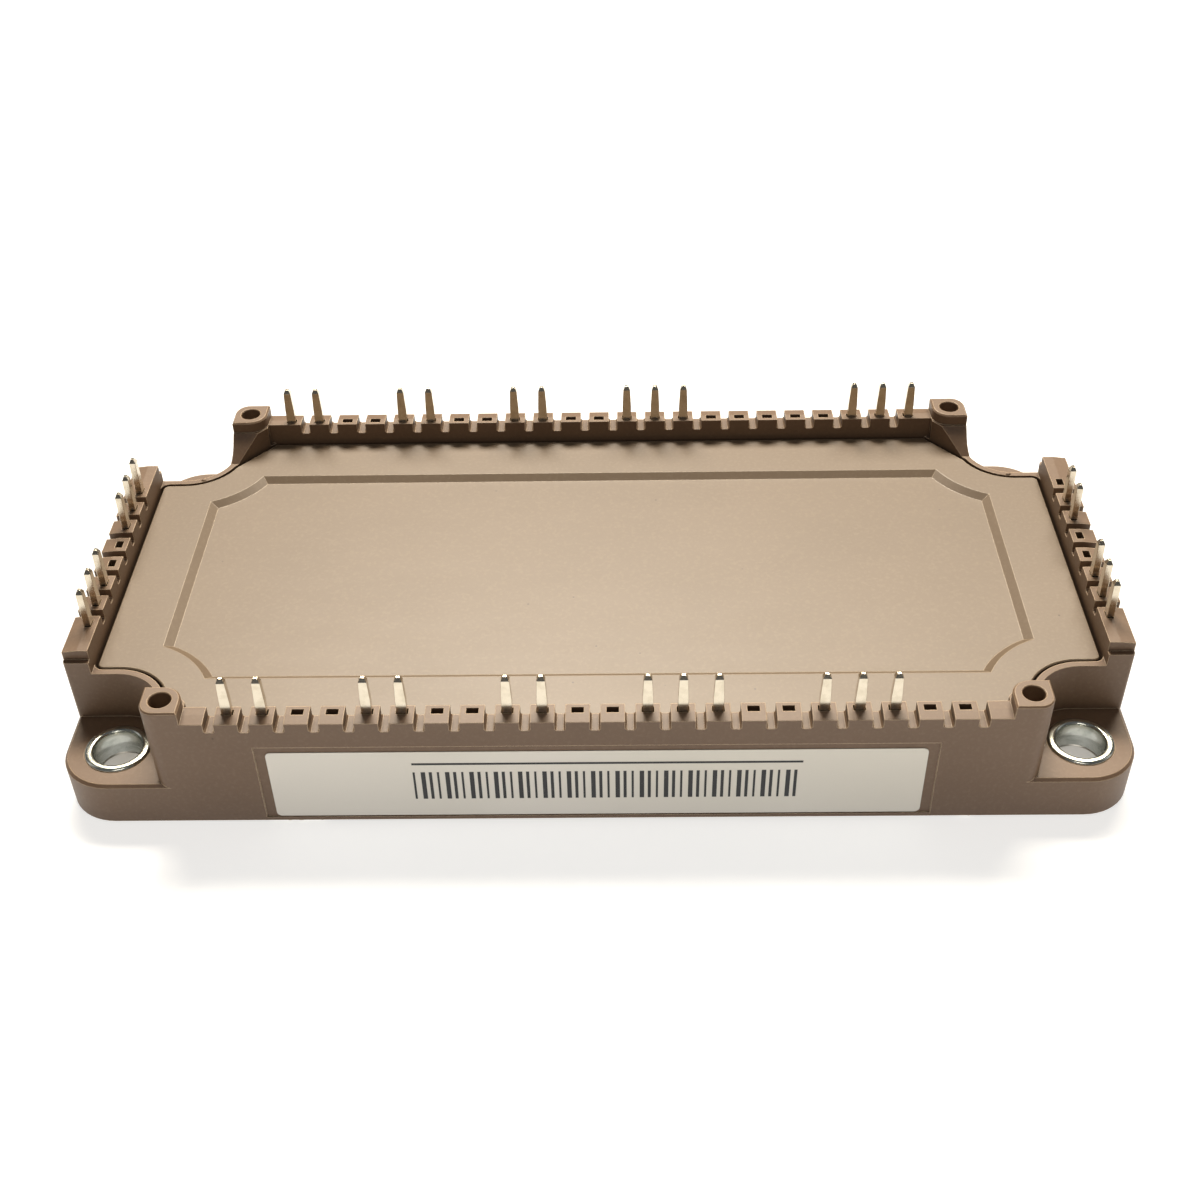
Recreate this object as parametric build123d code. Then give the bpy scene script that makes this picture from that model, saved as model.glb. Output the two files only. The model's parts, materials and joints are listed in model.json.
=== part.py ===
from build123d import *
import os
from math import atan2, cos, degrees, hypot, radians, sin

# A power transistor module: a moulded frame on a copper heat-spreader plate, closed
# by a pressed-in lid, with blade terminals standing in a comb of castles on all four
# sides. X is the long side, Y runs from the front wall to the back, Z is up. The
# origin is the middle of the plate's underside. All sizes are in millimetres.

# Frame outline
case_l = 122.0           # along X
case_w = 62.0            # along Y
case_corner_r = 6.0      # rounded corners of the ears
case_bottom_z = 0.4      # the plastic stops short of the plate's underside
ear_top_z = 6.0          # top of the four mounting ears
ear_edge = 0.35          # bevel round the ear's top edge
rim_top_z = 12.6         # top of the low rim along the corner cut-outs
castle_top_z = 15.5      # top of the comb
post_top_z = 17.0        # top of the four board posts

# Corner cut-outs above the ears, concentric with the mounting holes
hole_inset = 6.0         # mounting axes, from the end and the long side
ear_cut_r = 5.6
block_corner_r = 0.4     # vertical edge where a cut-out meets a long wall's end

# Comb walls
row_wall_t = 2.7         # front and back comb
side_wall_t = 3.0        # left and right comb
row_end_l = 1.185        # between a post and the last place of the back row
notch_w = 1.15
notch_depth = 1.4
notch_bevel = 0.2
castle_flat = 1.25       # flat part of a castle's top, from its inner face
castle_fall = 0.2        # the rest of the top falls this much towards the outside
side_step_l = 0.7        # low step at each end of a side comb
side_step_z = 14.2

# Terminal places, from the left along a row and from the back down a column: a cross
# holds a terminal and a dot is empty. All share one pitch, 3.81 here, which the back
# row takes from the room between the posts.
front_row = "xx..xx..xx..xxx..xxx.."
back_row = "xx..xx..xx..xxx.....xxx"
left_column = "xxx..xxx"
right_column = ".xx..xxx"
row_inset = 1.79         # front and back terminal centres, from the outer wall
column_inset = 1.945     # left and right terminal centres, from the outer wall
column_shift = -0.4      # the columns sit this far towards the front

# Terminal blades
pin_w = 1.15             # along its row
pin_t = 0.8
pin_top_z = 20.5
pin_taper_z = 17.4       # the blade narrows from here up
pin_shoulder_w = 0.92
pin_point_h = 0.5        # height of the coined point
pin_end_w = 0.46
pin_end_t = 0.34
pin_bend = 0.35          # bevel outside the bend above the foot
foot_reach = 2.1         # bond foot's length beyond the wall inside
slot_w = 1.35            # open mouth of a terminal slot, along its row
slot_t = 0.88
slot_mouth_depth = 2.4   # the slot hugs the blade below this depth
spare_slot_depth = 4.6   # depth of a slot that holds no blade

# Board posts
post_from_hole = 7.75    # along X, from the mounting axis
post_inset = 2.25        # from the outer wall
post_round_r = 2.25
post_corner_r = 1.8      # outer vertical corner of the post and the wall below it
post_bevel = 0.2
post_hole_r = 1.25
post_hole_depth = 8.5
post_hole_bevel = 0.1
post_ledge = 0.25        # between a post's round and the inner wall that passes it
web_run = 3.05           # the web beside a post runs out on the rim over this length
wall_turn = 50.0         # angle of the inner wall that passes a post, from X

# Lid
lid_gap = 0.35           # all round the lid
rim_w = 0.75             # width of the rim between cut-out and lid
lid_t = 1.6
lid_corner_r = 0.8
lid_edge = 0.15
lid_seat_w = 1.2         # ledge that carries the lid
recess_border_x = 6.9    # from the lid's edge
recess_border_y = 7.6
recess_ear_r = 11.25     # concave corners, concentric with the mounting holes
recess_depth = 0.65
recess_slope_w = 1.0

# Base plate
plate_t = 3.0
plate_margin = 1.2       # plastic skirt round the plate
plate_gap = 0.15
plate_edge = 0.2
mount_hole_r = 2.75
hole_bevel = 0.25

# Steel bushings in the ears
bushing_r = 3.8
bushing_top_z = 6.35
bushing_lip = 0.25       # bevel inside and outside the top

# Inside
bond_ledge_z = 6.0       # moulded ledge that carries the bond feet
bond_ledge_w = 2.5
bead_w = 1.0             # adhesive bead between frame and plate
bead_h = 0.45
bead_inset = 0.8
gel_cover = 1.15         # depth of the gel above the ribbons
tile_count = 3           # ceramic substrates
tile_gap = 2.0
tile_room_x = 6.95       # clear plate between the ledge and the tiles
tile_room_y = 6.25
solder_t = 0.15
copper_t = 0.3
ceramic_t = 0.4
copper_margin = 0.5
pad_gap = 0.8
pad_columns = 3
pad_rows = 2
chip_t = 0.25
igbt_size = 7.4
diode_l = 5.0
diode_w = 6.2
rectifier_size = 6.4
chip_inset = 5.4         # chip centres, from the tile's edge
brake_gap = 0.5          # between a brake chip and the rectifier on the same pad
brake_margin = 1.1       # between a brake chip and its pad's inner edge
thermistor_l = 2.0
thermistor_w = 1.25
thermistor_t = 0.8
ribbon_w = 0.5
ribbon_t = 0.2
ribbon_foot = 0.5        # bonded length at each end
ribbon_rise = 1.5        # height of the loop above its higher foot
ribbon_run = 1.2         # the loop peaks this far from its higher foot
ribbon_spacing = 1.4
ribbon_shift = 1.6       # the two rows of chips send their ribbons past each other
rectifier_shift = 2.9    # and those of the rectifiers pass outside both
ribbon_landing = 1.3     # how far a chip's ribbons reach past the middle line
ribbon_inset = 0.3       # between a ribbon's foot and the copper's edge

# Label on the front wall
label_margin = 1.2       # panel beyond each end of the label
label_h = 9.9
label_t = 0.1
label_corner_r = 0.6
label_foot = 0.15        # panel below the label
label_panel_l = 75.2
label_panel_bottom_z = 0.9
label_panel_top_z = 11.8
label_panel_depth = 0.15

# Working values
hair = 0.001             # coordinates closer than this are the same
tangent_slack = 0.01     # keeps a post's round from only touching the wall beside it

half_l = case_l / 2
half_w = case_w / 2
ear_x = half_l - hole_inset
ear_y = half_w - hole_inset
post_x = ear_x - post_from_hole
post_y = half_w - post_inset
row_inner_y = half_w - row_wall_t
side_inner_x = half_l - side_wall_t
row_y = half_w - row_inset
column_x = half_l - column_inset
notch_floor_z = castle_top_z - notch_depth
lid_bottom_z = rim_top_z - lid_t
lid_half_x = side_inner_x - lid_gap
lid_half_y = row_inner_y - lid_gap
cut_x = ear_x - ear_cut_r
cut_y = ear_y - ear_cut_r
side_block_half = cut_y - side_step_l
pitch = 2 * (post_x - post_round_r - row_end_l) / len(back_row)
label_l = label_panel_l - 2 * label_margin
recess_half_x = lid_half_x - recess_border_x
recess_half_y = lid_half_y - recess_border_y
cavity_x = lid_half_x - lid_seat_w - bond_ledge_w
cavity_y = lid_half_y - lid_seat_w - bond_ledge_w
tile_l = (2 * (cavity_x - tile_room_x) - (tile_count - 1) * tile_gap) / tile_count
tile_w = 2 * (cavity_y - tile_room_y)
solder_top_z = plate_t + solder_t
under_copper_z = solder_top_z + copper_t
ceramic_top_z = under_copper_z + ceramic_t
pad_top_z = ceramic_top_z + copper_t
chip_top_z = pad_top_z + chip_t
pad_l = (tile_l - 2 * copper_margin - (pad_columns - 1) * pad_gap) / pad_columns
pad_w = (tile_w - 2 * copper_margin - (pad_rows - 1) * pad_gap) / pad_rows
chip_y = tile_w / 2 - chip_inset
brake_low = pad_gap / 2 + brake_margin
brake_w = chip_y - rectifier_size / 2 - brake_gap - brake_low


def raised(plan, low, high):
    """A flat plan as a solid between two heights."""
    return Pos(0, 0, low) * extrude(plan, amount=high - low)


def block(x, y, z):
    """A box from its lowest and highest value on each axis."""
    size = Box(x[1] - x[0], y[1] - y[0], z[1] - z[0])
    return Pos((x[0] + x[1]) / 2, (y[0] + y[1]) / 2, (z[0] + z[1]) / 2) * size


def along_x(points, start, end):
    """A (y, z) outline as a prism along X."""
    outline = make_face(Polyline(*[(start, y, z) for y, z in points], close=True))
    return extrude(outline, amount=end - start, dir=(1, 0, 0))


def along_y(points, start, end):
    """An (x, z) outline as a prism along Y."""
    outline = make_face(Polyline(*[(x, start, z) for x, z in points], close=True))
    return extrude(outline, amount=end - start, dir=(0, 1, 0))


def rectangle(x, y):
    """A rectangle from its lowest and highest value on each axis."""
    return Pos((x[0] + x[1]) / 2, (y[0] + y[1]) / 2) * Rectangle(x[1] - x[0], y[1] - y[0])


def at_corners(shape):
    """A shape of the back right corner, mirrored to all four."""
    right = [shape, mirror(shape, about=Plane.XZ)]
    return right + [mirror(one, about=Plane.YZ) for one in right]


def corner_area(radius):
    """The back right area outside a cut-out of this radius round the mounting hole."""
    beyond = case_l / 4
    to_the_right = rectangle((0, beyond), (-radius, beyond))
    to_the_back = rectangle((-radius, beyond), (0, beyond))
    return Pos(ear_x, ear_y) * (Circle(radius) + to_the_right + to_the_back)


def body_plan():
    """Plan of the walls above the ears."""
    plan = Rectangle(case_l, case_w) - at_corners(corner_area(ear_cut_r))
    post_corners = plan.vertices().filter_by(lambda v: abs(abs(v.Y) - half_w) < hair)
    plan = fillet(post_corners, post_corner_r)
    block_corners = plan.vertices().filter_by(lambda v: abs(abs(v.X) - half_l) < hair)
    return fillet(block_corners, block_corner_r)


def inside_plan(grow, corner_r=0.0):
    """Plan of the space inside the walls, `grow` beyond the lid's edge.

    A straight stretch passes each post. It ends where it meets the round cut-out."""
    half_x = lid_half_x + grow
    half_y = lid_half_y + grow
    beyond = case_l / 4
    reach = post_round_r + post_ledge + lid_gap - grow
    turn = radians(wall_turn)
    stretch = (ear_x - post_x) * cos(turn) + (post_y - ear_y) * sin(turn)
    past_post = Rot(0, 0, -wall_turn) * rectangle((-beyond, stretch), (-reach, beyond))
    area = corner_area(ear_cut_r + rim_w + lid_gap - grow) + Pos(post_x, post_y) * past_post
    plan = Rectangle(2 * half_x, 2 * half_y) - at_corners(area)
    if corner_r:
        tips = plan.vertices().filter_by(lambda v: abs(abs(v.X) - half_x) < hair)
        plan = fillet(tips, corner_r)
    return plan


def post_plan():
    """Plan of the back right board post, square outside and round towards the lid."""
    plan = rectangle((post_x - post_round_r, cut_x), (post_y - post_round_r, half_w))
    outer = plan.vertices().filter_by(lambda v: v.X > post_x and v.Y > post_y)
    plan = fillet(outer, post_corner_r)
    inner = plan.vertices().filter_by(lambda v: v.X < post_x and v.Y < post_y)
    return fillet(inner, post_round_r - tangent_slack)


def row_places(row):
    """X of each terminal place in a front or back row."""
    return [(i - (len(row) - 1) / 2) * pitch for i in range(len(row))]


def column_places(column):
    """Y of each terminal place in a side column, from the back."""
    return [((len(column) - 1) / 2 - i) * pitch + column_shift for i in range(len(column))]


def all_places():
    """Every terminal place: side, number, centre, the turn that points a foot inwards, filled."""
    sides = [("front", front_row, 0, [(x, -row_y) for x in row_places(front_row)]),
             ("back", back_row, 180, [(x, row_y) for x in row_places(back_row)]),
             ("left", left_column, -90, [(-column_x, y) for y in column_places(left_column)]),
             ("right", right_column, 90, [(column_x, y) for y in column_places(right_column)])]
    return [(side, i + 1, x, y, turn, marks[i] == "x")
            for side, marks, turn, centres in sides for i, (x, y) in enumerate(centres)]


def gaps_between(places):
    """The middle of each step from one place to the next."""
    return [(a + b) / 2 for a, b in zip(places, places[1:])]


def terminals():
    """Every terminal: its name, its centre and its turn."""
    digits = {"front": 2, "back": 2, "left": 1, "right": 1}
    return [(f"pin_{side}_{number:0{digits[side]}}", x, y, turn)
            for side, number, x, y, turn, filled in all_places() if filled]


def spare_places():
    """Centre and turn of each terminal slot that holds no blade."""
    return [(x, y, turn) for _, _, x, y, turn, filled in all_places() if not filled]


def foot_length(turn):
    """From a terminal's centre line to the inner end of its bond foot."""
    inner = row_y - row_inner_y if turn in (0, 180) else column_x - side_inner_x
    return inner + lid_seat_w + foot_reach


def blade(turn):
    """One terminal at the origin of its place: blade, coined point and bond foot."""
    half_t = pin_t / 2
    foot_top = bond_ledge_z + pin_t
    point_z = pin_top_z - pin_point_h
    reach = foot_length(turn)
    side = [(-half_t, bond_ledge_z + pin_bend), (-half_t + pin_bend, bond_ledge_z), (reach, bond_ledge_z),
            (reach, foot_top), (half_t, foot_top), (half_t, point_z), (pin_end_t / 2, pin_top_z),
            (-pin_end_t / 2, pin_top_z), (-half_t, point_z)]
    body = along_x(side, -pin_w / 2, pin_w / 2)
    shoulder = pin_shoulder_w / 2
    front = [(-pin_w / 2, 0), (pin_w / 2, 0), (pin_w / 2, pin_taper_z), (shoulder, point_z),
             (pin_end_w / 2, pin_top_z), (-pin_end_w / 2, pin_top_z), (-shoulder, point_z),
             (-pin_w / 2, pin_taper_z)]
    return body & along_y(front, -case_w, case_w)


def make_pins():
    """The terminals by name, each turned at its own place."""
    shapes = {turn: blade(turn) for turn in (0, 180, -90, 90)}
    return {name: Pos(x, y, 0) * Rot(0, 0, turn) * shapes[turn] for name, x, y, turn in terminals()}


def comb_walls():
    """The raised walls that the castles are cut from."""
    low = lid_bottom_z
    fall_z = castle_top_z - castle_fall
    row = [(row_inner_y, low), (half_w, low), (half_w, fall_z),
           (row_inner_y + castle_flat, castle_top_z), (row_inner_y, castle_top_z)]
    front = along_x([(-y, z) for y, z in row], -post_x, post_x)
    back = along_x(row, -post_x, post_x)
    side = [(side_inner_x, low), (half_l, low), (half_l, fall_z),
            (side_inner_x + castle_flat, castle_top_z), (side_inner_x, castle_top_z)]
    right = along_y(side, -side_block_half, side_block_half)
    left = along_y([(-x, z) for x, z in side], -side_block_half, side_block_half)
    walls = front + back + right + left
    for sx in (-1, 1):
        x = sorted((sx * side_inner_x, sx * half_l))
        step = block(x, (-cut_y, cut_y), (low, side_step_z))
        walls += step & raised(body_plan(), low, side_step_z)
    return walls


def post_webs():
    """Sloping webs that lead the rim up to each post."""
    ring = body_plan() - inside_plan(lid_gap)
    foot_y = post_y - post_round_r - post_ledge
    tip_y = foot_y - web_run
    slope = [(tip_y, rim_top_z), (foot_y, castle_top_z), (post_y, castle_top_z), (post_y, lid_bottom_z),
             (tip_y, lid_bottom_z)]
    web = along_x(slope, post_x - post_round_r, half_l) & raised(ring, lid_bottom_z, castle_top_z)
    return at_corners(web)


def make_posts():
    """Four board posts with a bevel round the top."""
    post = raised(post_plan(), lid_bottom_z, post_top_z)
    return at_corners(chamfer(post.faces().sort_by(Axis.Z)[-1].edges(), post_bevel))


def post_holes():
    """Blind screw holes, bevelled at the mouth."""
    hanging = (Align.CENTER, Align.CENTER, Align.MAX)
    hole = Cylinder(post_hole_r, post_hole_depth, align=hanging)
    mouth = Cone(post_hole_r, post_hole_r + post_hole_bevel, post_hole_bevel, align=hanging)
    return at_corners(Pos(post_x, post_y, post_top_z) * (hole + mouth))


def ear_bores(radius, height):
    """Round holes on the mounting axes, from the bottom up to this height."""
    return at_corners(Pos(ear_x, ear_y, height / 2) * Cylinder(radius, height))


def notches():
    """U-shaped cuts between the castles, right through the comb."""
    half = notch_w / 2
    top = castle_top_z + notch_depth
    floor = notch_floor_z
    outline = [(-half, top), (-half, floor + notch_bevel), (-half + notch_bevel, floor),
               (half - notch_bevel, floor), (half, floor + notch_bevel), (half, top)]
    cuts = []
    front = row_places(front_row)
    front = [front[0] - pitch / 2, *gaps_between(front), front[-1] + pitch / 2]
    for x in front:
        cuts.append(along_y([(x + u, z) for u, z in outline], -half_w, -row_inner_y))
    for x in gaps_between(row_places(back_row)):
        cuts.append(along_y([(x + u, z) for u, z in outline], row_inner_y, half_w))
    for y in gaps_between(column_places(left_column)):
        turned = [(y + u, z) for u, z in outline]
        cuts.append(along_x(turned, -half_l, -side_inner_x))
        cuts.append(along_x(turned, side_inner_x, half_l))
    return cuts


def slots():
    """Slot mouths round the blades, and deeper ones where no blade stands."""
    def mouth(depth):
        height = (castle_top_z - depth, castle_top_z)
        return block((-slot_w / 2, slot_w / 2), (-slot_t / 2, slot_t / 2), height)
    around, spare = mouth(slot_mouth_depth), mouth(spare_slot_depth)
    cuts = [Pos(x, y, 0) * Rot(0, 0, turn) * around for _, x, y, turn in terminals()]
    return cuts + [Pos(x, y, 0) * Rot(0, 0, turn) * spare for x, y, turn in spare_places()]


def bead_ring():
    """Plan of the adhesive bead, between the plate's edge and the cavity."""
    outer = inside_plan(-lid_seat_w - bond_ledge_w + bead_inset + bead_w)
    return outer - inside_plan(-lid_seat_w - bond_ledge_w + bead_inset)


def plate_plan(inset):
    """Outline of the ears, this far inside their edge."""
    return RectangleRounded(case_l - 2 * inset, case_w - 2 * inset, case_corner_r - inset)


def make_case(pins):
    """The moulded frame, cut round everything that is moulded or set into it."""
    ears = raised(RectangleRounded(case_l, case_w, case_corner_r), case_bottom_z, ear_top_z)
    ears = chamfer(ears.faces().sort_by(Axis.Z)[-1].edges(), ear_edge)
    case = ears + raised(body_plan(), plate_t, rim_top_z) + comb_walls() + post_webs() + make_posts()
    ledge = -lid_seat_w
    case -= raised(inside_plan(lid_gap, lid_corner_r + lid_gap), lid_bottom_z, post_top_z)
    case -= raised(inside_plan(ledge), bond_ledge_z, lid_bottom_z)
    case -= raised(inside_plan(ledge - bond_ledge_w), 0, bond_ledge_z)
    case -= raised(plate_plan(plate_margin), 0, plate_t)
    case -= raised(bead_ring(), plate_t, plate_t + bead_h)
    panel_z = (label_panel_bottom_z, label_panel_top_z)
    case -= block((-label_panel_l / 2, label_panel_l / 2), (-half_w, -half_w + label_panel_depth), panel_z)
    case = case - post_holes() - ear_bores(bushing_r, ear_top_z) - notches() - slots()
    return case - list(pins.values())


def make_lid():
    """Lid plate with its shallow octagonal recess."""
    lid = raised(inside_plan(0, lid_corner_r), lid_bottom_z, rim_top_z)
    lid = chamfer(lid.faces().sort_by(Axis.Z)[-1].edges(), lid_edge)
    def recess_plan(inset):
        plan = Rectangle(2 * (recess_half_x - inset), 2 * (recess_half_y - inset))
        return plan - at_corners(Pos(ear_x, ear_y) * Circle(recess_ear_r + inset))
    floor = Pos(0, 0, rim_top_z - recess_depth) * recess_plan(recess_slope_w)
    top = Pos(0, 0, rim_top_z) * recess_plan(0)
    return lid - loft([floor, top], ruled=True)


def make_plate():
    """Copper base plate with its four mounting holes."""
    plate = raised(plate_plan(plate_margin + plate_gap), 0, plate_t)
    plate = chamfer(plate.faces().sort_by(Axis.Z)[0].edges(), plate_edge)
    plate = plate - ear_bores(mount_hole_r, plate_t)
    rims = plate.edges().filter_by(GeomType.CIRCLE).filter_by(lambda e: abs(e.radius - mount_hole_r) < hair)
    return chamfer(rims, hole_bevel)


def make_bushings():
    """Turned steel bushings with bevelled lips: back and front right, back and front left."""
    lip_z = bushing_top_z - bushing_lip
    wall = [(mount_hole_r, plate_t), (bushing_r, plate_t), (bushing_r, lip_z),
            (bushing_r - bushing_lip, bushing_top_z), (mount_hole_r + bushing_lip, bushing_top_z),
            (mount_hole_r, lip_z)]
    section = make_face(Polyline(*[(r, 0, z) for r, z in wall], close=True))
    return at_corners(Pos(ear_x, ear_y, 0) * revolve(section, axis=Axis.Z))


def make_label():
    """Thin film on the sunk panel of the front wall."""
    plan = RectangleRounded(label_l, label_h, label_corner_r)
    middle = (0, -half_w + label_panel_depth, label_panel_bottom_z + label_foot + label_h / 2)
    return extrude(Plane(middle, x_dir=(1, 0, 0), z_dir=(0, -1, 0)) * plan, amount=label_t)


def tile_centres():
    """Middle of each ceramic tile along X."""
    return [(i - (tile_count - 1) / 2) * (tile_l + tile_gap) for i in range(tile_count)]


def pad_centres(tile_x):
    """Middle of each copper pad on a tile, as (x, y side)."""
    step = pad_l + pad_gap
    centres = [tile_x + (c - (pad_columns - 1) / 2) * step for c in range(pad_columns)]
    return [(x, side) for x in centres for side in (-1, 1)]


def layer(length, width, low, thickness):
    """The same rectangle on each tile."""
    plate = block((-length / 2, length / 2), (-width / 2, width / 2), (low, low + thickness))
    return [Pos(x, 0, 0) * plate for x in tile_centres()]


def make_pads():
    """The etched copper pads, in two rows on each tile."""
    y = (pad_gap / 2, pad_gap / 2 + pad_w)
    pads = []
    for tile_x in tile_centres():
        for x, side in pad_centres(tile_x):
            span = sorted((side * y[0], side * y[1]))
            pads.append(block((x - pad_l / 2, x + pad_l / 2), span, (ceramic_top_z, pad_top_z)))
    return pads


def chips(places, length, width, thickness=chip_t):
    """The same chip soldered on the pads at each place."""
    half_x, half_y, top = length / 2, width / 2, pad_top_z + thickness
    return [block((x - half_x, x + half_x), (y - half_y, y + half_y), (pad_top_z, top)) for x, y in places]


def chip_places():
    """Chip centres. The left tile rectifies and brakes, and the others drive three phases."""
    rectifier_tile, *drive_tiles = tile_centres()
    pads = pad_centres(rectifier_tile)
    brake_y = brake_low + brake_w / 2
    pads_of_drives = [pad for tile in drive_tiles for pad in pad_centres(tile)]
    return {
        "rectifier": [(x, side * chip_y) for x, side in pads],
        "igbt": [(x, -chip_y) for x, side in pads_of_drives if side < 0],
        "diode": [(x, chip_y) for x, side in pads_of_drives if side > 0],
        "brake_igbt": [(pads[0][0], -brake_y)],
        "brake_diode": [(pads[0][0], brake_y)],
        "sensor": [(pads[-1][0], brake_y)],
    }


def ribbon(start, end):
    """A flat ribbon from a high place to a lower one, with a bonded foot on each."""
    run = hypot(end[0] - start[0], end[1] - start[1])
    drop = end[2] - start[2]
    peak = (ribbon_foot + ribbon_run, ribbon_rise)
    lower = [(0, 0), (ribbon_foot, 0), peak, (run - ribbon_foot, drop), (run, drop)]
    upper = [(x, z + ribbon_t) for x, z in reversed(lower)]
    turn = degrees(atan2(end[1] - start[1], end[0] - start[0]))
    return Pos(*start) * Rot(0, 0, turn) * along_y(lower + upper, -ribbon_w / 2, ribbon_w / 2)


def pin_ribbons():
    """One ribbon from each terminal's foot to the nearest pad."""
    foot_z = bond_ledge_z + pin_t
    foot_middle = lid_seat_w + foot_reach / 2
    copper_end = copper_margin + ribbon_inset + ribbon_foot
    row_end = tile_w / 2 - copper_end
    column_end = tile_centres()[-1] + tile_l / 2 - copper_end
    pads = {x for tile in tile_centres() for x, _ in pad_centres(tile)}
    room = pad_l / 2 - ribbon_inset - ribbon_w / 2
    ribbons = []
    for _, x, y, turn in terminals():
        if turn in (-90, 90):
            side = 1 if x > 0 else -1
            start = (side * (side_inner_x - foot_middle), y, foot_z)
            end = (side * column_end, y, pad_top_z)
        else:
            side = 1 if y > 0 else -1
            nearest = min(pads, key=lambda pad: abs(pad - x))
            landing = max(nearest - room, min(x, nearest + room))
            start = (x, side * (row_inner_y - foot_middle), foot_z)
            end = (landing, side * row_end, pad_top_z)
        ribbons.append(ribbon(start, end))
    return ribbons


def chip_ribbons():
    """Ribbons from the top of each chip to the pad across the middle line."""
    places = chip_places()
    kinds = ((places["igbt"] + places["brake_igbt"], 2, ribbon_shift),
             (places["diode"] + places["brake_diode"], 1, ribbon_shift),
             (places["rectifier"], 1, rectifier_shift))
    ribbons = []
    for centres, count, shift in kinds:
        for x, y in centres:
            side = 1 if y > 0 else -1
            for k in range(count):
                line = x + side * shift + (k - (count - 1) / 2) * ribbon_spacing
                ribbons.append(ribbon((line, y, chip_top_z), (line, -side * ribbon_landing, pad_top_z)))
    return ribbons


def make_inside():
    """Substrates, chips and bonds, each as a list of solids."""
    copper = (tile_l - 2 * copper_margin, tile_w - 2 * copper_margin)
    places = chip_places()
    return {
        "substrate_solder": layer(*copper, plate_t, solder_t),
        "substrate_under_copper": layer(*copper, solder_top_z, copper_t),
        "ceramic_substrates": layer(tile_l, tile_w, under_copper_z, ceramic_t),
        "circuit_copper": make_pads(),
        "rectifier_diodes": chips(places["rectifier"], rectifier_size, rectifier_size),
        "igbt_chips": chips(places["igbt"], igbt_size, igbt_size)
        + chips(places["brake_igbt"], igbt_size, brake_w),
        "freewheel_diodes": chips(places["diode"], diode_l, diode_w)
        + chips(places["brake_diode"], diode_l, brake_w),
        "thermistor": chips(places["sensor"], thermistor_l, thermistor_w, thermistor_t),
        "bond_ribbons": pin_ribbons() + chip_ribbons(),
    }


def make_gel():
    """The silicone gel above the ribbons. The gel between and below them is left out."""
    low = bond_ledge_z + pin_t + ribbon_rise + ribbon_t
    return raised(inside_plan(-lid_seat_w), low, low + gel_cover)


def write(name, shape):
    """One STEP file for one node, whether it is one solid or several alike."""
    parts = shape if isinstance(shape, list) else [shape]
    solids = [solid for part in parts for solid in part.solids()]
    result = solids[0] if len(solids) == 1 else Compound(children=solids)
    result.label = name
    export_step(result, f"parts/{name}.step")


def main():
    os.makedirs("parts", exist_ok=True)
    pins = make_pins()
    write("case", make_case(pins))
    write("lid", make_lid())
    write("base_plate", make_plate())
    write("label", make_label())
    write("adhesive_bead", raised(bead_ring(), plate_t, plate_t + bead_h))
    for place, bushing in zip(("back_right", "front_right", "back_left", "front_left"), make_bushings()):
        write(f"bushing_{place}", bushing)
    for name, piece in [*pins.items(), *make_inside().items()]:
        write(name, piece)
    write("silicone_gel", make_gel())


main()
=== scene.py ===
# %% [markdown]
# # A power module under soft studio light
# The object is a flat module for an electric drive: a tan moulded frame and lid on a
# nickel-plated copper plate, steel bushings in its ears, and tinned blades standing in
# a comb of small castles. Its solids arrive as a fixed frame in metres. They could be
# remodelled here, but they already fit each other, so this lesson gives them finishes
# and adds only what is too fine for solids.

# %% Load the frame
import bpy
import bmesh
import json
import math
import random
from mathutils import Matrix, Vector


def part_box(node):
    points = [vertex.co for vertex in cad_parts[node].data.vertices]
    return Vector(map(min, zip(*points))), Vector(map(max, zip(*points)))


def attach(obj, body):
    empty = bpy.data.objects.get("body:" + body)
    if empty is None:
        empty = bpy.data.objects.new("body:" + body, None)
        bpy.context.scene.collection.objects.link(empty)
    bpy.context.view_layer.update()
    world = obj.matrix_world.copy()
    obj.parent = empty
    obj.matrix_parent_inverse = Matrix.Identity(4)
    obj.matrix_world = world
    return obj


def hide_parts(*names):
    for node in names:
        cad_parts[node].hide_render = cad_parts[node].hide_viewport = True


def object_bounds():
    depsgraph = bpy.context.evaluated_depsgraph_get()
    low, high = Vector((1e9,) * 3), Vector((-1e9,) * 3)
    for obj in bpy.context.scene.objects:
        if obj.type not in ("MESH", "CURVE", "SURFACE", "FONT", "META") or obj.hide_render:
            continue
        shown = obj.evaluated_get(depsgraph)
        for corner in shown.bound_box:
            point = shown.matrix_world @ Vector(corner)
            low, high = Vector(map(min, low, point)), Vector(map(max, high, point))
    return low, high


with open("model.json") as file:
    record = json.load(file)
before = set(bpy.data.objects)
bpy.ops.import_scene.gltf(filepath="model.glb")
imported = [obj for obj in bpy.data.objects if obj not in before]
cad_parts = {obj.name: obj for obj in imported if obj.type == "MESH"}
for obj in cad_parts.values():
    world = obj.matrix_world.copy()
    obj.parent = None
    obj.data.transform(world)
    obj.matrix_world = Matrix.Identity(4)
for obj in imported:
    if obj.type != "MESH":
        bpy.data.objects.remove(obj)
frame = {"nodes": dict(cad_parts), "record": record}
cad_box = [list(corner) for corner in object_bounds()]
mm = 0.001
print("nodes", len(frame["nodes"]), "box", cad_box)

# %% [markdown]
# ## Arithmetic on shaders
# A finish is a small formula: some grain, a few specks, a lighter edge. Formulas can be
# wired up one node at a time, but that hides them. So one class wraps a node's output
# and gives it plus, minus and times, in both orders, and each of them adds a Math node.
# Colours and vectors would turn grey in a Math node, so the next class mixes them.

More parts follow.
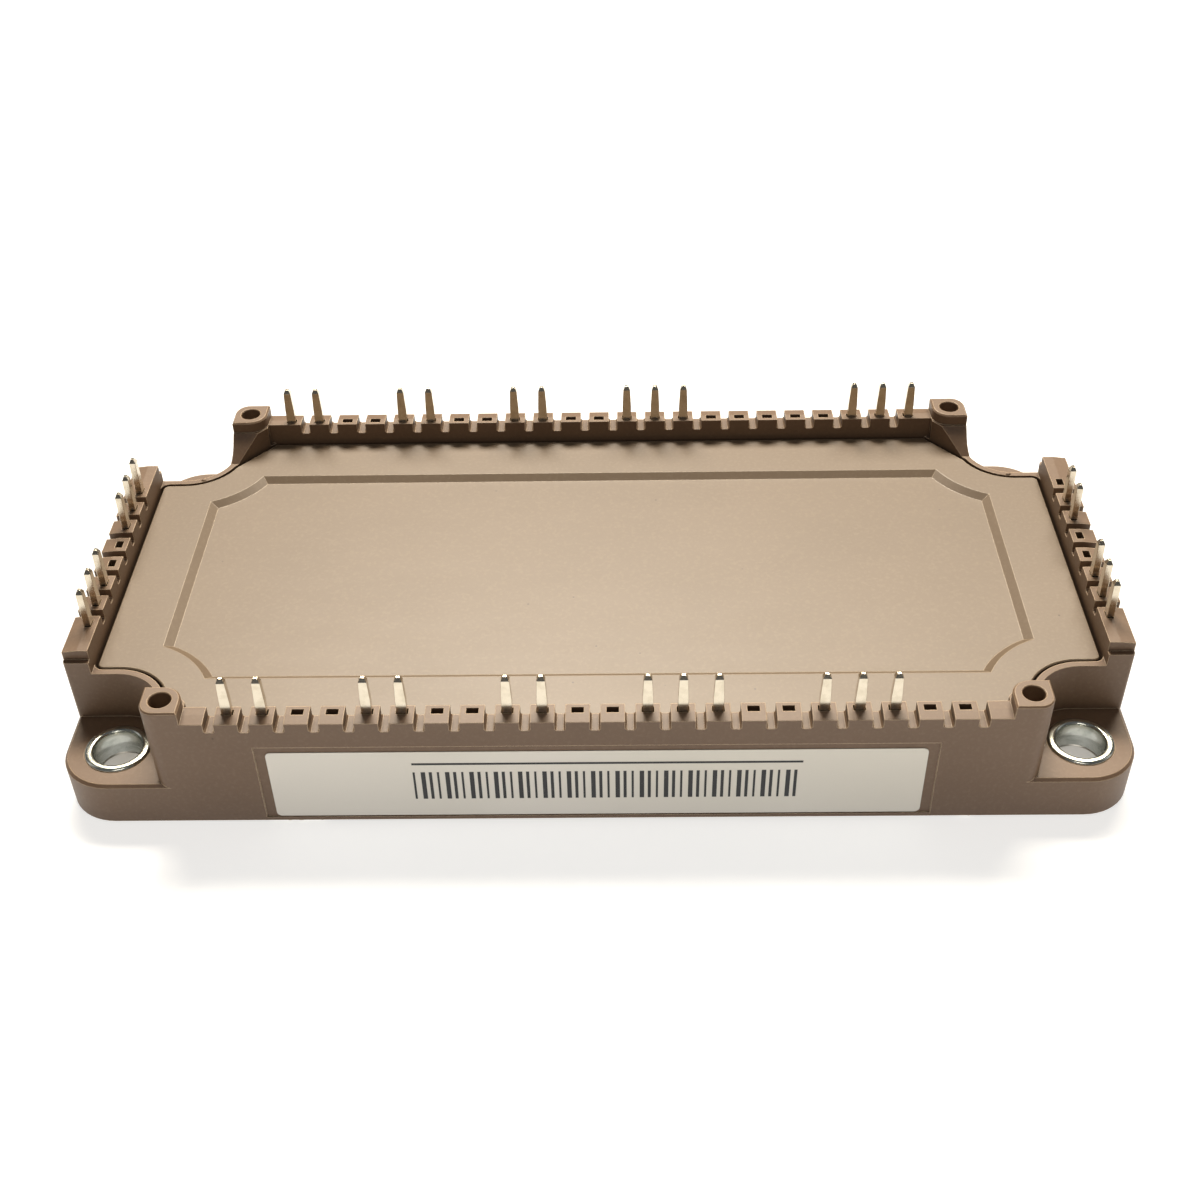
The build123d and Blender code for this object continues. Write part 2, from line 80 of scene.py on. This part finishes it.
# %% A signal that can be calculated with
class Signal:
    """One output of a shader node."""

    def __init__(self, shader, socket):
        self.shader = shader
        self.socket = socket

    def out(self, name):
        """Another output of the same node."""
        return Signal(self.shader, self.socket.node.outputs[name])

    def combine(self, operation, *values):
        """A Math node that is fed with the values."""
        sockets = dict(enumerate(values))
        return self.shader.node("ShaderNodeMath", {"operation": operation}, sockets)

    def __add__(self, other):
        return self.combine("ADD", self, other)

    def __radd__(self, other):
        return self.combine("ADD", other, self)

    def __sub__(self, other):
        return self.combine("SUBTRACT", self, other)

    def __rsub__(self, other):
        return self.combine("SUBTRACT", other, self)

    def __mul__(self, other):
        return self.combine("MULTIPLY", self, other)

    def __rmul__(self, other):
        return self.combine("MULTIPLY", other, self)

    def size(self):
        """The value without its sign."""
        return self.combine("ABSOLUTE", self)

    def root(self):
        return self.combine("SQRT", self)

    def between(self, low, high):
        """A smooth step from 0 at low to 1 at high."""
        settings = {"interpolation_type": "SMOOTHSTEP"}
        sockets = {"Value": self, "From Min": low, "From Max": high}
        return self.shader.node("ShaderNodeMapRange", settings, sockets)

# %% [markdown]
# The shader itself is a second small class. It makes any node from its type, its
# settings and its sockets, and it knows the few things that the finishes here need:
# a place on the part in millimetres, noise of a given size, and a mix of two colours.
# A painted highlight on edges and painted shade, with dirt, in corners could be drawn by hand. They
# are found by a few rays round each point instead, so they follow the shape wherever it changes.

# %% A shader that makes nodes
soft_rays = 4                        # rays that feel for an edge or a corner
flat_lean, edge_lean = 0.004, 0.14   # 1 minus the cosine of 5 and of 31 degrees

class Shader:
    """A material with a Principled BSDF, built up from nodes."""

    def __init__(self, name, **constants):
        self.material = bpy.data.materials.new(name)
        self.material.use_nodes = True
        self.tree = self.material.node_tree
        self.surface = self.tree.nodes["Principled BSDF"]
        self.finish(**constants)
        place = self.node("ShaderNodeTexCoord").out("Object")
        self.place = self.vector("SCALE", {"Vector": place, "Scale": 1 / mm})

    def node(self, kind, settings=None, sockets=None):
        """Any node: its settings go first, then what its sockets are fed with."""
        made = self.tree.nodes.new(kind)
        for name, value in (settings or {}).items():
            setattr(made, name, value)
        for name, value in (sockets or {}).items():
            self.feed(made.inputs[name], value)
        return Signal(self, next(socket for socket in made.outputs if socket.enabled))

    def feed(self, socket, value):
        """A link from a signal, or else a constant on the socket itself."""
        if isinstance(value, Signal):
            self.tree.links.new(value.socket, socket)
        else:
            socket.default_value = value

    def finish(self, **sockets):
        """Feed the surface, with _ for the space in a socket's name."""
        for name, value in sockets.items():
            self.feed(self.surface.inputs[name.replace("_", " ")], value)
        return self.material

    def vector(self, operation, sockets):
        return self.node("ShaderNodeVectorMath", {"operation": operation}, sockets)

    def noise(self, grain_mm, detail, stretch=(1, 1, 1)):
        """Noise from 0 to 1 whose features are about grain_mm across."""
        place = self.vector("MULTIPLY", {0: self.place, 1: [1 / s for s in stretch]})
        sockets = {"Vector": place, "Scale": 1 / grain_mm, "Detail": detail}
        return self.node("ShaderNodeTexNoise", None, sockets)

    def specks(self, apart_mm, size_mm, share):
        """Small round spots, one in each Voronoi cell, kept in a share of the cells."""
        sockets = {"Vector": self.place, "Scale": 1 / apart_mm}
        cells = self.node("ShaderNodeTexVoronoi", None, sockets)
        reach = size_mm / apart_mm
        spot = 1 - cells.out("Distance").between(reach * 0.5, reach)
        chance = self.node("ShaderNodeSeparateColor", None, {"Color": cells.out("Color")})
        return spot * chance.between(1 - share, 1 - share + 0.01)

    def mix(self, factor, first, second):
        """A colour mixed from two, whose sockets on a Mix node are numbers 6 and 7."""
        settings = {"data_type": "RGBA"}
        return self.node("ShaderNodeMix", settings, {0: factor, 6: first, 7: second})

    def rounded(self, radius_mm):
        """The surface normal as if every sharp edge were rounded by this radius."""
        settings = {"samples": soft_rays}
        return self.node("ShaderNodeBevel", settings, {"Radius": radius_mm * mm})

    def edge(self, rounded):
        """1 on an edge and 0 away from it, from how far the rounded normal leans."""
        true = self.node("ShaderNodeNewGeometry").out("True Normal")
        lean = self.vector("DOT_PRODUCT", {0: rounded, 1: true}).out("Value")
        return (1 - lean).between(flat_lean, edge_lean)

    def crevice(self, reach_mm):
        """1 deep in a corner or a slot and 0 in the open."""
        settings = {"samples": soft_rays}
        sky = self.node("ShaderNodeAmbientOcclusion", settings, {"Distance": reach_mm * mm})
        return 1 - sky.out("AO")

    def bump(self, height, depth_mm, normal=None):
        """A fine relief, laid on the rounded normal where one is given."""
        sockets = {"Height": height, "Distance": depth_mm * mm, "Strength": 1.0}
        if normal is not None:
            sockets["Normal"] = normal
        return self.node("ShaderNodeBump", None, sockets)

# %% [markdown]
# ## Moulded plastic
# Frame and lid are glass-filled plastic from a spark-eroded mould. Up close the skin has
# a fine even grain, faint clouds where the melt cooled unevenly and a few dark specks,
# and its edges get a painted highlight: a much paler colour where the corner is rounded
# off. A photograph of plastic could give all that at once, but noise keeps its real size
# from every side. The colour is a dark brown and the skin is half glossy, because the tan
# of the top is mostly the sheen of a warm light: only so do the sloped and upright faces stay dark
# beside it.
# Deep in narrow holes and slots, where little sky is seen, the colour falls off to near
# black: painted shade, with some dirt. It stays off open corners, because these are shaded by the
# light itself.

# %% Tan plastic
plastic_edge_mm = 0.15
speck_colour = (0.03, 0.02, 0.015, 1)
# near-black colour of the painted shade, with dirt, in holes and slots
dirt_and_shade_colour = (0.04, 0.022, 0.012, 1)

# edge_colour is the colour of the painted highlight on rounded edges; a little of it also tints the
# mottle
def moulded_plastic(name, colour, cloud_colour, edge_colour, speck_share, roughness, shine):
    shader = Shader(name, Specular_IOR_Level=shine)
    rounded = shader.rounded(plastic_edge_mm)
    # mask for the painted highlight on rounded edges, and for their lower roughness
    edge = shader.edge(rounded)
    clouds = shader.noise(14.0, 3.0)
    flow = shader.noise(2.2, 2.0, (5, 1, 1))
    grain = shader.noise(0.11, 2.0)
    mottle = shader.noise(0.45, 4.0)
    specks = shader.specks(2.6, 0.16, speck_share)
    # painted shade, with dirt: a mask that is 1 deep in holes, slots and corners that see little
    # sky
    dirt_and_shade = shader.crevice(1.6).between(0.42, 0.8)
    colour = shader.mix(clouds.between(0.35, 0.7), colour, cloud_colour)
    streaks = (grain - 0.5) * 0.35 + (flow - 0.5) * 0.25 + 0.5
    colour = shader.mix(streaks, colour, cloud_colour)
    colour = shader.mix(mottle.between(0.45, 0.75) * 0.03, colour, edge_colour)
    colour = shader.mix(specks * 0.75, colour, speck_colour)
    # painted highlight: rounded edges turn to the much paler edge colour
    colour = shader.mix(edge * 0.9, colour, edge_colour)
    # painted shade and dirt: the colour goes near black there
    colour = shader.mix(dirt_and_shade * 0.9, colour, dirt_and_shade_colour)
    roughness = roughness + grain * 0.1 + flow * 0.04 - edge * 0.08
    normal = shader.bump(grain, 0.006, rounded)
    return shader.finish(Base_Color=colour, Roughness=roughness, Normal=normal)

# the third colour of each plastic is its painted edge highlight
case_plastic = moulded_plastic(
    "tan_frame_plastic", (0.163, 0.097, 0.055, 1), (0.141, 0.083, 0.046, 1),
    (0.8, 0.6, 0.4, 1), speck_share=0.10, roughness=0.43, shine=0.5)
lid_plastic = moulded_plastic(
    "tan_lid_plastic", (0.152, 0.104, 0.063, 1), (0.137, 0.093, 0.055, 1),
    (0.75, 0.6, 0.42, 1), speck_share=0.22, roughness=0.39, shine=0.6)
print("plastics", case_plastic.name, lid_plastic.name)

# %% [markdown]
# ## Metals
# Three metal skins show. The blades are stamped strip with a matt tin skin, drawn along
# the blade. The bushings are turned and zinc plated, so their scratches run round the
# bore. The plate is nickel-plated copper, lapped flat. One metal for all three would be
# quicker, but light tells them apart by the way their scratches run. Each is metallic
# all over, and only its colour and roughness change.

# %% Drawn metal for the blades
blade_edge_mm = 0.05

def drawn_metal(name, colour, dull_colour, roughness):
    """Fine streaks along Z, with a duller bloom."""
    shader = Shader(name, Metallic=1.0)
    streaks = shader.noise(0.07, 3.0, (1, 1, 22))
    bloom = shader.noise(1.1, 3.0)
    rounded = shader.rounded(blade_edge_mm)
    colour = shader.mix(bloom.between(0.4, 0.75) * 0.7, colour, dull_colour)
    gloss = roughness + (streaks - 0.5) * 0.08 + bloom * 0.08
    normal = shader.bump(streaks, 0.003, rounded)
    return shader.finish(Base_Color=colour, Roughness=gloss, Normal=normal)

tin = drawn_metal("tinned_blade", (0.62, 0.56, 0.46, 1), (0.5, 0.44, 0.34, 1), 0.14)

# %% Turned metal for the bushings
mounting = next(m for m in frame["record"]["mounts"] if m["name"] == "mounting_holes")
hole_r = mounting["dims"]["hole_r_mm"] * mm
hole_x = mounting["dims"]["spacing_x_mm"] / 2 * mm
hole_y = mounting["dims"]["spacing_y_mm"] / 2 * mm
rings_per_mm = 9.0

def turned_metal(name, colour, dull_colour, roughness):
    """Rings round the four screws' axes, found by folding the part into one corner."""
    shader = Shader(name, Metallic=1.0)
    place = shader.node("ShaderNodeSeparateXYZ", None, {"Vector": shader.place})
    off_x = place.out("X").size() - hole_x / mm
    off_y = place.out("Y").size() - hole_y / mm
    radius = (off_x * off_x + off_y * off_y).root()
    spot = shader.node("ShaderNodeCombineXYZ", None, {"X": radius, "Y": place.out("Z")})
    sockets = {"Vector": spot, "Scale": rings_per_mm, "Detail": 3.0}
    rings = shader.node("ShaderNodeTexNoise", None, sockets)
    bloom = shader.noise(1.6, 3.0)
    colour = shader.mix(bloom.between(0.42, 0.7) * 0.8, colour, dull_colour)
    gloss = roughness + (rings - 0.5) * 0.14 + bloom * 0.08
    normal = shader.bump(rings, 0.004)
    return shader.finish(Base_Color=colour, Roughness=gloss, Normal=normal)

zinc = turned_metal("zinc_plated_steel", (0.62, 0.63, 0.57, 1), (0.4, 0.42, 0.37, 1), 0.2)
print("mounting holes", hole_x, hole_y, "radius", hole_r)

# %% Lapped metal for the plate
plate_edge_mm = 0.15

def lapped_metal(name, colour, dull_colour, roughness):
    """A flat ground skin with crossing scratches and faint stains."""
    shader = Shader(name, Metallic=1.0)
    along = shader.noise(0.12, 3.0, (30, 1, 1))
    across = shader.noise(0.2, 3.0, (1, 24, 1))
    stains = shader.noise(9.0, 4.0)
    rounded = shader.rounded(plate_edge_mm)
    colour = shader.mix(stains.between(0.45, 0.75) * 0.6, colour, dull_colour)
    gloss = roughness + along * 0.12 + across * 0.08 + stains * 0.1
    normal = shader.bump(along + across, 0.003, rounded)
    return shader.finish(Base_Color=colour, Roughness=gloss, Normal=normal)

nickel = lapped_metal("nickel_plated_copper", (0.62, 0.6, 0.56, 1), (0.5, 0.46, 0.4, 1), 0.26)
print("metals", tin.name, zinc.name, nickel.name)

# %% [markdown]
# ## Film, print and the pieces inside
# The label is a silvery film: paper would be flatter and foil too bright, so it is a
# pale skin with a weak coat and a faint weave of pressed dots. The pieces under the lid
# don't show, but each has a finish of its own too, from one function, because all of
# them are an even skin with a little mottling.

# %% Film and print
def label_film():
    shader = Shader("silver_label_film", Metallic=0.15, Coat_Roughness=0.25)
    fibre = shader.noise(0.18, 3.0)
    tone = shader.noise(26.0, 1.0)
    colour = shader.mix(tone.between(0.3, 0.7), (0.74, 0.7, 0.63, 1), (0.69, 0.65, 0.57, 1))
    colour = shader.mix(fibre * 0.12, colour, (0.5, 0.47, 0.41, 1))
    return shader.finish(Base_Color=colour, Roughness=0.34 + fibre * 0.14,
                         Coat_Weight=0.25 + tone * 0.1, Normal=shader.bump(fibre, 0.004))

def label_ink():
    shader = Shader("black_label_ink")
    worn = shader.noise(0.3, 4.0)
    colour = shader.mix(worn.between(0.62, 0.8), (0.012, 0.012, 0.014, 1), (0.07, 0.07, 0.07, 1))
    return shader.finish(Base_Color=colour, Roughness=0.3 + worn * 0.2)

# %% Skins of the pieces inside
def even_skin(name, colour, other_colour, roughness, mottle_mm, metallic=0.0):
    shader = Shader(name, Metallic=metallic)
    mottle = shader.noise(mottle_mm, 3.0)
    colour = shader.mix(mottle.between(0.35, 0.65), colour, other_colour)
    normal = shader.bump(mottle, 0.01)
    return shader.finish(Base_Color=colour, Roughness=roughness + mottle * 0.12, Normal=normal)

sealant = even_skin("pale_sealant", (0.62, 0.57, 0.47, 1), (0.5, 0.45, 0.36, 1), 0.4, 0.6)
gel = even_skin("clear_gel", (0.8, 0.82, 0.82, 1), (0.72, 0.76, 0.78, 1), 0.08, 6.0)
ceramic = even_skin("white_ceramic", (0.86, 0.86, 0.83, 1), (0.8, 0.79, 0.76, 1), 0.5, 0.4)
dark_ceramic = even_skin(
    "dark_ceramic", (0.05, 0.05, 0.055, 1), (0.03, 0.03, 0.035, 1), 0.4, 0.5)
copper = even_skin("etched_copper", (0.76, 0.42, 0.28, 1), (0.6, 0.31, 0.2, 1), 0.3, 1.5, 1.0)
solder = even_skin("soft_solder", (0.6, 0.6, 0.61, 1), (0.5, 0.5, 0.52, 1), 0.35, 0.8, 1.0)
silicon = even_skin("silicon_chip", (0.3, 0.31, 0.34, 1), (0.2, 0.21, 0.25, 1), 0.15, 3.0, 0.8)
ribbon = even_skin("bond_ribbon", (0.85, 0.85, 0.86, 1), (0.74, 0.74, 0.76, 1), 0.25, 0.5, 1.0)

# %% Give every node its finish
finishes = {
    "case_plastic": case_plastic, "lid_plastic": lid_plastic, "plated_copper": nickel,
    "bushing_steel": zinc, "tinned_terminal": tin, "label_film": label_film(),
    "silicone_adhesive": sealant, "silicone_gel": gel, "ceramic": ceramic,
    "bare_copper": copper, "solder": solder, "silicon": silicon,
    "thermistor_body": dark_ceramic, "bond_aluminium": ribbon,
}
for part in frame["record"]["subparts"]:
    piece = frame["nodes"][part["node"]]
    piece.data.materials.clear()
    piece.data.materials.append(finishes[part["material_slot"]])
print("finishes", len(finishes), "on", len(frame["nodes"]), "nodes")

# %% [markdown]
# ## Turned bushings
# A steel sleeve sits in each ear, so that the screw can't crush the plastic. Its lip is
# rolled over smoothly, which is where the bright ring in each ear comes from. A bevelled
# solid can't catch that light, so each sleeve is drawn here as a profile and turned
# round its axis, inside the same outline as its solid.

# %% From a bmesh to a piece on the part
body = "root"

def as_piece(name, shape, smooth=True):
    """A mesh object from a bmesh, with its faces turned outwards."""
    bmesh.ops.recalc_face_normals(shape, faces=shape.faces)
    mesh = bpy.data.meshes.new(name)
    shape.to_mesh(mesh)
    shape.free()
    mesh.polygons.foreach_set("use_smooth", [smooth] * len(mesh.polygons))
    piece = bpy.data.objects.new(name, mesh)
    bpy.context.collection.objects.link(piece)
    return piece

def place_piece(piece, material):
    piece.data.materials.append(material)
    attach(piece, body)

# %% Turn a profile round an axis
turn_steps = 96

def turned(name, profile, centre):
    """A closed (radius, height) profile turned round a vertical axis at centre."""
    shape = bmesh.new()
    rings = []
    for step in range(turn_steps):
        angle = 2 * math.pi * step / turn_steps
        cosine, sine = math.cos(angle), math.sin(angle)
        rings.append([shape.verts.new((centre.x + r * cosine, centre.y + r * sine, z))
                      for r, z in profile])
    for step in range(turn_steps):
        here, there = rings[step], rings[(step + 1) % turn_steps]
        for k in range(len(profile)):
            after = (k + 1) % len(profile)
            shape.faces.new((here[k], there[k], there[after], here[after]))
    return as_piece(name, shape)

def round_corner(centre, radius, start, end, steps):
    """Points on an arc, with angles in degrees."""
    angles = [math.radians(start + (end - start) * k / steps) for k in range(steps + 1)]
    return [(centre[0] + radius * math.cos(a), centre[1] + radius * math.sin(a))
            for a in angles]

# %% Sleeves with rolled lips
lip_r = 0.4 * mm
lip_steps = 8
bushings = [name for name in frame["nodes"] if name.startswith("bushing")]
for node in bushings:
    low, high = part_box(node)
    centre = (low + high) / 2
    outer_r = (high.x - low.x) / 2
    lip_z = high.z - lip_r
    profile = [(hole_r, low.z), (outer_r, low.z)]
    profile += round_corner((outer_r - lip_r, lip_z), lip_r, 0, 90, lip_steps)
    profile += round_corner((hole_r + lip_r, lip_z), lip_r, 90, 180, lip_steps)
    sleeve = turned(node.replace("bushing", "turned_sleeve"), profile, centre)
    place_piece(sleeve, zinc)
    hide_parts(node)
    print("sleeve at", round(centre.x / mm, 2), round(centre.y / mm, 2),
          "radii", round(hole_r / mm, 2), round(outer_r / mm, 2))

# %% [markdown]
# ## Stamped blades
# The blades are cut from strip by a punch, which leaves small rounded edges and a coined
# point. The solids have the outline but sharp edges. Drawing 35 new blades by hand would
# be slow, so each blade's own mesh is copied, its flat faces are joined up again, and
# its edges are rounded by a few hundredths of a millimetre.

# %% Round the edges of a copied mesh
weld = 0.001 * mm          # corners nearer than this become one
flat_deg = 1               # faces that meet at less are one flat face
sharp_deg = 25.0           # edges with more are rounded
blade_round = 0.035 * mm

def softened(name, node):
    shape = bmesh.new()
    shape.from_mesh(frame["nodes"][node].data)
    bmesh.ops.remove_doubles(shape, verts=shape.verts, dist=weld)
    bmesh.ops.dissolve_limit(shape, angle_limit=math.radians(flat_deg),
                             verts=shape.verts, edges=shape.edges)
    sharp = [edge for edge in shape.edges if len(edge.link_faces) == 2
             and edge.calc_face_angle() > math.radians(sharp_deg)]
    bmesh.ops.bevel(shape, geom=sharp, offset=blade_round, segments=2, profile=0.5,
                    affect="EDGES", clamp_overlap=True)
    return as_piece(name, shape, smooth=False)

pins = [name for name in frame["nodes"] if name.startswith("pin_")]
for node in pins:
    blade = softened(node.replace("pin", "blade"), node)
    place_piece(blade, tin)
    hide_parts(node)
print("blades", len(pins))

# %% [markdown]
# ## Print on the label
# The label's print is a plain field of bars under a thin rule. Bars could be an image,
# but a few thin plates of ink are sharper at any distance. Their widths follow a short
# formula that stands for nothing.

# %% Thin plates of ink
ink_t = 0.012 * mm

def ink_plates(name, boxes):
    """Upright plates in one piece, from (x low, x high, z low, z high) and a back Y."""
    shape = bmesh.new()
    for x_low, x_high, z_low, z_high, back in boxes:
        corners = [shape.verts.new((x, y, z)) for y in (back, back - ink_t)
                   for x, z in ((x_low, z_low), (x_high, z_low), (x_high, z_high), (x_low, z_high))]
        for face in ((0, 1, 2, 3), (7, 6, 5, 4), (0, 4, 5, 1),
                     (1, 5, 6, 2), (2, 6, 7, 3), (3, 7, 4, 0)):
            shape.faces.new([corners[k] for k in face])
    place_piece(as_piece(name, shape, smooth=False), label_ink())

# %% Bars and a rule
film_low, film_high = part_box("label")
bar_step = 0.9 * mm
bar_widths = (0.25 * mm, 0.5 * mm, 0.35 * mm)
bar_count = 48
bar_low = film_low.z + 2.6 * mm
bar_high = film_high.z - 3.1 * mm
bar_start = film_low.x + 16.0 * mm
bar_end = bar_start + bar_count * bar_step
rule_low = film_high.z - 2.0 * mm
rule_high = film_high.z - 1.7 * mm
bars = []
for k in range(bar_count):
    left = bar_start + k * bar_step
    bars.append((left, left + bar_widths[k % len(bar_widths)], bar_low, bar_high, film_low.y))
ink_plates("label_bars", bars + [(bar_start, bar_end, rule_low, rule_high, film_low.y)])
print("bars", bar_count, "over", round(bar_count * bar_step / mm, 1), "mm")

# %% [markdown]
# ## Traces of making
# Two small nibs stand on the rim round the back ears' cut-outs, where the mould's gates
# were cut off, and a little pale sealant has crept out under the front wall. They are
# small, but an object without any trace of how it was made looks like a drawing. Each
# could be sculpted. A row of soft lumps with a fixed seed does as well at this size.

# %% A row of soft lumps
def lumps(name, centre, reach, count, seed, slot):
    """Lumps in a row along X, in one piece, within the reach in X, Y and Z."""
    draw = random.Random(seed)
    shape = bmesh.new()
    for k in range(count):
        share = (k + 0.5) / count - 0.5
        shift = Vector((reach[0] * share, reach[1] * draw.uniform(-0.2, 0.2), 0))
        at = Vector(centre) + shift
        ball = bmesh.ops.create_icosphere(shape, subdivisions=3, radius=1.0)["verts"]
        scale = (reach[0] / count * draw.uniform(0.55, 0.8), reach[1] / 2,
                 reach[2] / 2 * draw.uniform(0.6, 1.0))
        for vert in ball:
            vert.co = at + Vector([a * b for a, b in zip(vert.co, scale)])
    place_piece(as_piece(name, shape), finishes[slot])

# %% Gate nibs
rim_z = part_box("lid")[1].z
rim_r = 5.98 * mm              # from the screw's axis to the middle of the rim
nib_size = (0.5 * mm, 0.45 * mm, 0.35 * mm)
nib_seed = 3
for side, x in (("right", 54.05 * mm), ("left", -52.6 * mm)):
    y = hole_y - math.sqrt(rim_r ** 2 - (abs(x) - hole_x) ** 2)
    lumps(f"gate_nib_{side}", (x, y, rim_z + 0.05 * mm), nib_size, 1, nib_seed, "case_plastic")
print("nibs at", round(rim_z / mm, 2), "mm")

# %% Creeps of sealant
skirt_z = 0.4 * mm             # lower edge of the frame
creep_y = cad_box[0][1] + 0.45 * mm
creep_z = skirt_z - 0.05 * mm
creep_w, creep_h = 0.7 * mm, 0.4 * mm
creep_lumps = 4
creep_seed = 20
creeps = ((-36.0, 2.4), (-32.6, 3.2), (41.5, 1.6))
for k, (x, length) in enumerate(creeps):
    lumps(f"sealant_creep_{k + 1}", (x * mm, creep_y, creep_z), (length * mm, creep_w, creep_h),
          creep_lumps, creep_seed + k, "silicone_adhesive")
print("creeps", len(creeps))

# %% [markdown]
# ## Floor, light and camera
# The module stands on a pale sheet that is lit a little from below, as on a table for
# catalogue pictures, so that its shadow stays faint and the front walls are lit from
# the sheet. A wide warm soft box hangs behind and above. Its sheen lights the flat tops
# and misses the slopes. A small box beside it gives the comb's shadows their soft edge.
# One large box overhead would be simpler, but it lights slopes and tops alike. A weak
# box in front only draws a fine light line on rounded edges, and two strips at the
# sides are there for the metal to reflect.

# %% Floor
def pale_floor():
    shader = Shader("pale_floor", Roughness=0.75, Emission_Color=(1.0, 0.985, 0.96, 1),
                    Emission_Strength=0.7)
    tone = shader.noise(160.0, 2.0)
    colour = shader.mix(tone, (0.49, 0.5, 0.51, 1), (0.53, 0.54, 0.55, 1))
    return shader.finish(Base_Color=colour)

floor_half = 30.0
shape = bmesh.new()
bmesh.ops.create_grid(shape, x_segments=8, y_segments=8, size=floor_half)
floor = as_piece("floor", shape, smooth=False)
floor.data.materials.append(pale_floor())
print("floor", 2 * floor_half, "m wide")

# %% Soft boxes
aim = Vector((0, 0, 0.01))

def soft_box(name, place, width, height, watts, colour):
    """An area lamp at place, in metres, that faces the part."""
    lamp = bpy.data.lights.new(name, "AREA")
    lamp.shape = "RECTANGLE"
    lamp.size = width
    lamp.size_y = height
    lamp.energy = watts
    lamp.color = colour
    box = bpy.data.objects.new(name, lamp)
    bpy.context.collection.objects.link(box)
    box.location = place
    box.rotation_euler = (aim - Vector(place)).to_track_quat("-Z", "Y").to_euler()

soft_box("key_box", (-0.04, 0.34, 0.52), 0.12, 0.12, 1.6, (1.0, 0.95, 0.86))
soft_box("back_box", (0.03, 0.42, 0.6), 0.62, 0.24, 9.8, (1.0, 0.9, 0.74))
soft_box("front_box", (0.0, -0.55, 0.5), 0.3, 0.12, 0.7, (1.0, 0.95, 0.88))
soft_box("left_strip", (-0.6, 0.0, 0.3), 0.15, 0.5, 0.15, (1.0, 0.99, 0.97))
soft_box("right_strip", (0.6, 0.0, 0.3), 0.15, 0.5, 0.15, (1.0, 0.99, 0.97))
print("soft boxes aimed", round(aim.z / mm), "mm above the floor")

# %% Faint light from all round
world = bpy.data.worlds.new("studio")
bpy.context.scene.world = world
world.use_nodes = True
sky = world.node_tree.nodes["Background"].inputs
sky["Color"].default_value = (0.9, 0.92, 0.95, 1)
sky["Strength"].default_value = 0.12
bpy.context.scene.view_settings.view_transform = "Standard"   # colours as they are set

# %% [markdown]
# The camera could be set by eye. It was fitted instead to points measured in the
# photograph, such as the posts, the blades' tips and the slots, so that the shapes can
# be compared one by one. Its picture is shifted only a little, because a larger shift
# would cut the part off when the camera goes round it.

# %% Camera
camera_data = bpy.data.cameras.new("camera")
camera_data.lens = 47.61
camera_data.sensor_width = 36.0
camera_data.shift_y = 0.05
camera_data.clip_start = 0.01
camera = bpy.data.objects.new("camera", camera_data)
bpy.context.collection.objects.link(camera)
camera.location = (3.27 * mm, -155.48 * mm, 132.32 * mm)
camera.rotation_euler = [math.radians(angle) for angle in (49.014, 0.95, 0.366)]
bpy.context.scene.camera = camera
print("camera at", tuple(round(c / mm, 1) for c in camera.location))
